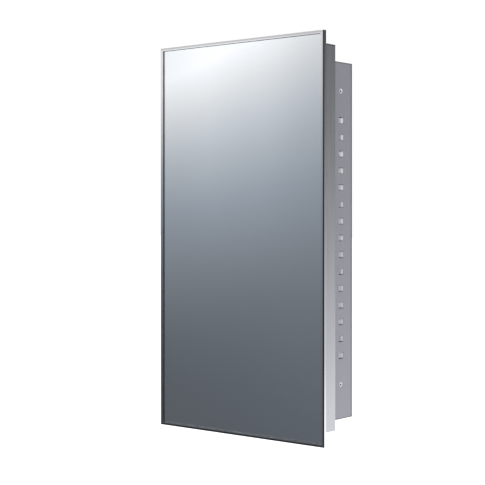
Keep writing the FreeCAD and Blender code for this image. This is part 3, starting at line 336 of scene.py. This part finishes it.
# The case sides are painted near white as highlights on the pressed rests and dimples, and with
# shade lines along their rear, top and bottom bends.
case_side_paint = surface(
    "case_side_grey_paint", case_grey, (0.34, 0.46), 0.5, EVEN, 420.0,
    vary=0.05, relief=0.12, depth=0.0001, coat=0.05,
    masks=[(pressed_highlight, (0.93, 0.93, 0.94)), (rear_shade_line, EDGE_SHADE)],
    shade_lines=[(2, *inside(CASE_TOP, 0.0027, 0.0011), EDGE_SHADE, 0.8),
          (2, *inside(CASE_BOTTOM, 0.0024, 0.0010), EDGE_SHADE, 0.7)],
)
case_paint = surface("case_grey_paint", case_grey, (0.34, 0.46), 0.5, EVEN, 420.0,
                     vary=0.05, relief=0.12, depth=0.0001, coat=0.05)
# The shelf's last millimetre at each end, where it meets the rests, is painted dark as shade.
TONGUE_SHADE = (0.26, 0.27, 0.29)
shelf_paint = surface("shelf_white_paint", (0.66, 0.665, 0.67), (0.34, 0.46), 0.0, EVEN, 420.0,
                      vary=0.04, relief=0.12, depth=0.0001, coat=0.1,
                      shade_lines=[(0, *inside(end, 0.0014, 0.0006), TONGUE_SHADE, 0.9)
                            for end in (SHELF_END, -SHELF_END)])
pan_paint = surface("pan_white_paint", (0.56, 0.565, 0.57), (0.34, 0.46), 0.0, EVEN, 380.0,
                    vary=0.06, relief=0.2, depth=0.0001, coat=0.1)
hinge_steel = surface("hinge_strip_steel", (0.58, 0.585, 0.6), (0.24, 0.4), 1.0, UPRIGHT, 800.0,
                      vary=0.08, relief=0.06)
rivet_steel = surface("rivet_steel", (0.6, 0.605, 0.615), (0.25, 0.42), 1.0, EVEN, 1500.0,
                      vary=0.1, relief=0.06)
zinc = surface("zinc_plate", (0.62, 0.63, 0.65), (0.28, 0.45), 1.0, EVEN, 300.0,
               vary=0.12, relief=0.05, speck=(0.5, 0.51, 0.54))
plastic = surface("catch_white_plastic", (0.72, 0.72, 0.70), (0.38, 0.5), 0.0, EVEN, 900.0,
                  vary=0.03, relief=0.08)
ferrite = surface("magnet_ferrite", (0.035, 0.035, 0.038), (0.45, 0.7), 0.0, EVEN, 1400.0,
                  vary=0.3, relief=0.2, speck=(0.09, 0.09, 0.1))
rubber = surface("bumper_rubber", (0.03, 0.03, 0.032), (0.6, 0.8), 0.0, EVEN, 1600.0,
                 vary=0.25, relief=0.25)
fibre = surface("backing_fibre", (0.36, 0.31, 0.24), (0.75, 0.95), 0.0, EVEN, 700.0,
                vary=0.25, relief=0.3, speck=(0.22, 0.19, 0.15))


def glass_material():
    """Clear float glass with a faint tint and a trace of dust in its roughness."""
    material = bpy.data.materials.new("float_glass")
    tree = Tree(material)
    out = tree.add("ShaderNodeOutputMaterial")
    shader = tree.add("ShaderNodeBsdfPrincipled")
    tree.join(shader.outputs[0], out.inputs[0])
    shader.inputs["Transmission Weight"].default_value = 1.0
    shader.inputs["IOR"].default_value = 1.5
    haze = tree.noise(EVEN, 3.0, 2.0)
    tree.join(tree.ramp(haze, [(0.3, (0.955, 0.972, 0.978)), (0.7, (0.968, 0.98, 0.985))]),
              shader.inputs["Base Color"])
    tree.join(tree.spread(haze, 0.0, 0.012), shader.inputs["Roughness"])
    return material


def silver_material():
    """The silver film behind the glass, a little uneven as real silvering is."""
    material = bpy.data.materials.new("mirror_silver")
    tree = Tree(material)
    out = tree.add("ShaderNodeOutputMaterial")
    shader = tree.add("ShaderNodeBsdfPrincipled")
    tree.join(shader.outputs[0], out.inputs[0])
    shader.inputs["Metallic"].default_value = 1.0
    cloud = tree.noise(EVEN, 2.5, 3.0)
    tree.join(tree.ramp(cloud, [(0.3, (0.925, 0.93, 0.935)), (0.7, (0.945, 0.95, 0.955))]),
              shader.inputs["Base Color"])
    tree.join(tree.spread(cloud, 0.0, 0.01), shader.inputs["Roughness"])
    return material


glass = glass_material()
silver = silver_material()

FINISHES = [
    (case_side_paint, ["case_side_right", "case_side_left"]),
    (case_paint, ["case_top", "case_bottom", "case_back"]),
    (satin_up, ["collar_right", "collar_left"]),
    (satin_level, ["collar_top", "collar_bottom"]),
    (shelf_paint, ["shelf_1", "shelf_2", "shelf_3", "shelf_4"]),
    (hinge_steel, ["hinge_leaf_case", "hinge_leaf_door", "hinge_pin"]),
    (rivet_steel, ["collar_rivets", "case_corner_rivets", "case_back_rivets", "hinge_rivets_case",
                   "hinge_rivets_door", "door_frame_rivets", "catch_strike_rivets"]),
    (plastic, ["catch_housing"]),
    (ferrite, ["catch_magnet"]),
    (zinc, ["catch_pole_plates", "catch_screws", "catch_strike", "frame_corner_keys"]),
    (rubber, ["door_bumpers"]),
    (bright_up, ["door_frame_right", "door_frame_left"]),
    (bright_level, ["door_frame_top", "door_frame_bottom"]),
    (fibre, ["mirror_backing"]),
    (pan_paint, ["door_back_pan"]),
]
for material, names in FINISHES:
    for name in names:
        for slot in nodes[name].material_slots:
            slot.link = "OBJECT"
            slot.material = material

# ---------------------------------------------------------------- the mirror: glass and silver


def slab(name, low, high, material, edge):
    """A thin upright slab with ground edges."""
    mesh = bpy.data.meshes.new(name)
    shape = bmesh.new()
    bmesh.ops.create_cube(shape, size=1.0)
    for vertex in shape.verts:
        for axis in range(3):
            middle = (low[axis] + high[axis]) / 2
            vertex.co[axis] = middle + vertex.co[axis] * (high[axis] - low[axis])
    if edge:
        bmesh.ops.bevel(shape, geom=list(shape.edges), offset=edge, segments=2, affect="EDGES")
    shape.to_mesh(mesh)
    shape.free()
    piece = bpy.data.objects.new(name, mesh)
    bpy.context.scene.collection.objects.link(piece)
    mesh.materials.append(material)
    return piece


low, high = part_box("mirror_glass")
# The film's thickness, its distance in from the edge of the glass, and the ground edge.
film = 0.00012
film_inset = 0.0008
ground_edge = 0.0006
glass_slab = slab(
    "mirror_glass_front",
    (low[0], low[1] + film, low[2]),
    (high[0], high[1] - 2 * film, high[2]),
    glass,
    ground_edge,
)
silver_film = slab(
    "mirror_silver_film",
    (low[0] + film_inset, high[1] - 1.6 * film, low[2] + film_inset),
    (high[0] - film_inset, high[1] - 0.3 * film, high[2] - film_inset),
    silver,
    0.0,
)
for piece in (glass_slab, silver_film):
    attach(piece, "door")
    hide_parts("mirror_glass")

# ---------------------------------------------------------------- studio

# Half the floor's width, and how far it lies below the cabinet, which hangs on a wall.
FLOOR_HALF = 30.0
FLOOR_BELOW = 0.25


def pale_floor():
    """A wide matt floor that reflections don't show."""
    mesh = bpy.data.meshes.new("floor")
    corners = [(-1, -1), (1, -1), (1, 1), (-1, 1)]
    mesh.from_pydata([(x * FLOOR_HALF, y * FLOOR_HALF, 0) for x, y in corners], [], [(0, 1, 2, 3)])
    floor = bpy.data.objects.new("floor", mesh)
    bpy.context.scene.collection.objects.link(floor)
    floor.location = (0, 0, cad_low[2] - FLOOR_BELOW)
    floor.visible_glossy = False
    floor.visible_transmission = False
    paint = bpy.data.materials.new("floor_pale")
    tree = Tree(paint)
    out = tree.add("ShaderNodeOutputMaterial")
    shader = tree.add("ShaderNodeBsdfPrincipled", Roughness=0.9)
    shader.inputs["Base Color"].default_value = (0.93, 0.93, 0.93, 1)
    shader.inputs["Specular IOR Level"].default_value = 0.0
    shader.inputs["Emission Color"].default_value = (1, 1, 1, 1)
    shader.inputs["Emission Strength"].default_value = 0.45
    tree.join(shader.outputs[0], out.inputs[0])
    mesh.materials.append(paint)


pale_floor()

# The surround before the mirror: a dim slate grey that brightens with height by a power law.
# It starts to brighten at the slope HORIZON and is full at SOFTBOX.  Slopes here are moved up by
# a half, because a ramp runs from 0 to 1.
DIM = 0.120
GLOW = 1.03
FALLOFF = 3.9
HORIZON = 0.300
SOFTBOX = 0.695
COOL = (0.91, 1.0, 1.13)
PALE = (1.0, 1.0, 1.02)
# Where that light is brightest from side to side, as -x over -y, and how far it reaches.
AHEAD = 0.833
REACH = 0.109
# The surround's slopes change from side to side about this place: gain, lowest, highest factor,
# for all of it and for what lies below the horizon.
SWING = 0.87
STEEP = (1.55, 0.78, 1.18)
LOW = (2.5, 0.75, 1.3)
HORIZON_LIFT = 0.0677
# How much the view to the right counts when the front surround goes over into the back one.
RIGHTWARD = 0.35
# The surround beside the cabinet is the other way up: levels from below to above.
BACK_LEVELS = [(0.05, 0.70), (0.20, 0.95), (0.30, 1.42), (0.35, 1.10), (0.38, 0.735),
               (0.48, 0.41), (0.56, 0.232), (0.66, 0.105), (0.90, 0.30)]
BACK_TINT = (0.985, 1.0, 1.03)
# The light that matt surfaces get, from straight below to straight above.
SOFT_LIGHT = [(0.0, (0.55, 0.55, 0.57)), (0.5, (0.62, 0.625, 0.645)), (1.0, (0.95, 0.955, 0.97))]


def swing(tree, side, gain, lowest, highest):
    """A factor that is 1 at SWING and changes by gain with the sideways slope, within limits."""
    factor = tree.math("MULTIPLY", tree.math("SUBTRACT", side, SWING), gain)
    factor = tree.math("ADD", factor, 1.0)
    return tree.math("MINIMUM", tree.math("MAXIMUM", factor, lowest), highest)


def room():
    """The studio around the cabinet: soft light for the paint, a graded surround for the gloss."""
    world = bpy.data.worlds.new("studio")
    bpy.context.scene.world = world
    world.cycles.sampling_method = "NONE"
    tree = Tree(world)
    out = tree.add("ShaderNodeOutputWorld")
    where = tree.add("ShaderNodeTexCoord")
    parts = tree.add("ShaderNodeSeparateXYZ")
    tree.join(where.outputs["Generated"], parts.inputs[0])
    x, y, z = parts.outputs
    squares = tree.math("ADD", tree.math("MULTIPLY", x, x), tree.math("MULTIPLY", y, y))
    flat = tree.math("SQRT", squares)
    slope = tree.math("DIVIDE", z, tree.math("MAXIMUM", flat, 0.02))
    # The surround in front of the mirror: white above, slate grey below, steeper to the far left.
    side = tree.math("DIVIDE", tree.math("MULTIPLY", x, -1.0),
                     tree.math("MAXIMUM", tree.math("MULTIPLY", y, -1.0), 0.1))
    graded = tree.math("MULTIPLY", tree.math("ADD", slope, HORIZON_LIFT), swing(tree, side, *STEEP))
    graded = tree.math(
        "ADD",
        tree.math("MULTIPLY", tree.math("MINIMUM", graded, 0.0), swing(tree, side, *LOW)),
        tree.math("MAXIMUM", graded, 0.0),
    )
    climb = tree.add("ShaderNodeMapRange")
    tree.join(tree.math("ADD", graded, 0.5), climb.inputs[0])
    climb.inputs[1].default_value = HORIZON
    climb.inputs[2].default_value = SOFTBOX
    rise = climb.outputs[0]
    glow = tree.math("MULTIPLY", tree.math("POWER", rise, FALLOFF), GLOW)
    aside = tree.math("ABSOLUTE", tree.math("SUBTRACT", side, AHEAD))
    aside = product(tree, tree.band(aside, 0.25 * REACH, REACH), tree.band(rise, 0.5, 0.8))
    level = tree.math("MULTIPLY", tree.math("ADD", glow, DIM), tree.spread(aside, 1.0, 0.9))
    grey = tree.add("ShaderNodeCombineXYZ")
    for channel in range(3):
        tree.join(level, grey.inputs[channel])
    tint = tree.ramp(rise, [(0.70, COOL), (0.93, PALE)])
    front = tree.blend(1.0, grey.outputs[0], tint, "MULTIPLY")
    # The surround behind and to the right: dark above, bright below.
    back = tree.ramp(tree.math("ADD", slope, 0.5),
                     [(place, tuple(part * amount for part in BACK_TINT))
                      for place, amount in BACK_LEVELS])
    turn = tree.math("ADD", tree.math("MULTIPLY", x, RIGHTWARD), y)
    mix = tree.ramp(tree.math("ADD", turn, 0.5), [(0.25, (0, 0, 0)), (0.85, (1, 1, 1))], smooth=True)
    surround = tree.blend(mix, front, back)
    soft = tree.ramp(tree.math("ADD", tree.math("MULTIPLY", z, 0.5), 0.5), SOFT_LIGHT)
    path = tree.add("ShaderNodeLightPath")
    lit = tree.blend(path.outputs["Is Glossy Ray"], soft, surround)
    seen = tree.blend(path.outputs["Is Camera Ray"], lit, (1.0, 1.0, 1.0))
    background = tree.add("ShaderNodeBackground")
    tree.join(seen, background.inputs["Color"])
    tree.join(background.outputs[0], out.inputs[0])


room()


def softbox(name, place, aim, width, height, power):
    """A large area lamp that doesn't show in reflections."""
    data = bpy.data.lights.new(name, "AREA")
    data.shape = "RECTANGLE"
    data.size = width
    data.size_y = height
    data.energy = power
    lamp = bpy.data.objects.new(name, data)
    bpy.context.scene.collection.objects.link(lamp)
    lamp.location = place
    away = lamp.location.copy()
    for axis in range(3):
        away[axis] -= aim[axis]
    lamp.rotation_euler = away.to_track_quat("Z", "Y").to_euler()
    lamp.visible_glossy = False
    lamp.visible_camera = False
    return lamp


# Lamps: name, place, what it is aimed at, width, height, power in watts.
LAMPS = [
    ("key", (-1.6, -2.2, 2.4), (0, 0, 0), 2.2, 2.2, 22.0),
    ("fill", (2.6, 0.6, 1.2), (0, 0, 0), 2.0, 2.0, 6.0),
    ("overhead", (0.0, 0.0, 3.2), (0, 0, -0.6), 4.0, 4.0, 30.0),
]
for lamp_values in LAMPS:
    softbox(*lamp_values)

# ---------------------------------------------------------------- camera

# The camera stands level, to the front right.  Its azimuth is the side it stands on and its turn
# the way it looks, in degrees from straight ahead.  Distance and rise are in metres.
CAMERA_AZIMUTH = math.radians(38.8250)
CAMERA_TURN = math.radians(39.60)
CAMERA_DISTANCE = 2.43754
CAMERA_RISE = 0.0397

camera_data = bpy.data.cameras.new("camera")
camera = bpy.data.objects.new("camera", camera_data)
bpy.context.scene.collection.objects.link(camera)
camera_data.sensor_width = 36.0
camera_data.lens = 92.08
camera_data.shift_x = 0.0014
camera_data.shift_y = -0.0526
camera_data.clip_end = 200.0
camera.location = (
    CAMERA_DISTANCE * math.sin(CAMERA_AZIMUTH),
    -CAMERA_DISTANCE * math.cos(CAMERA_AZIMUTH),
    CAMERA_RISE,
)
camera.rotation_euler = (math.radians(90), 0, CAMERA_TURN)
bpy.context.scene.camera = camera
bpy.context.scene.view_settings.view_transform = "Standard"
bpy.context.scene.view_settings.look = "None"
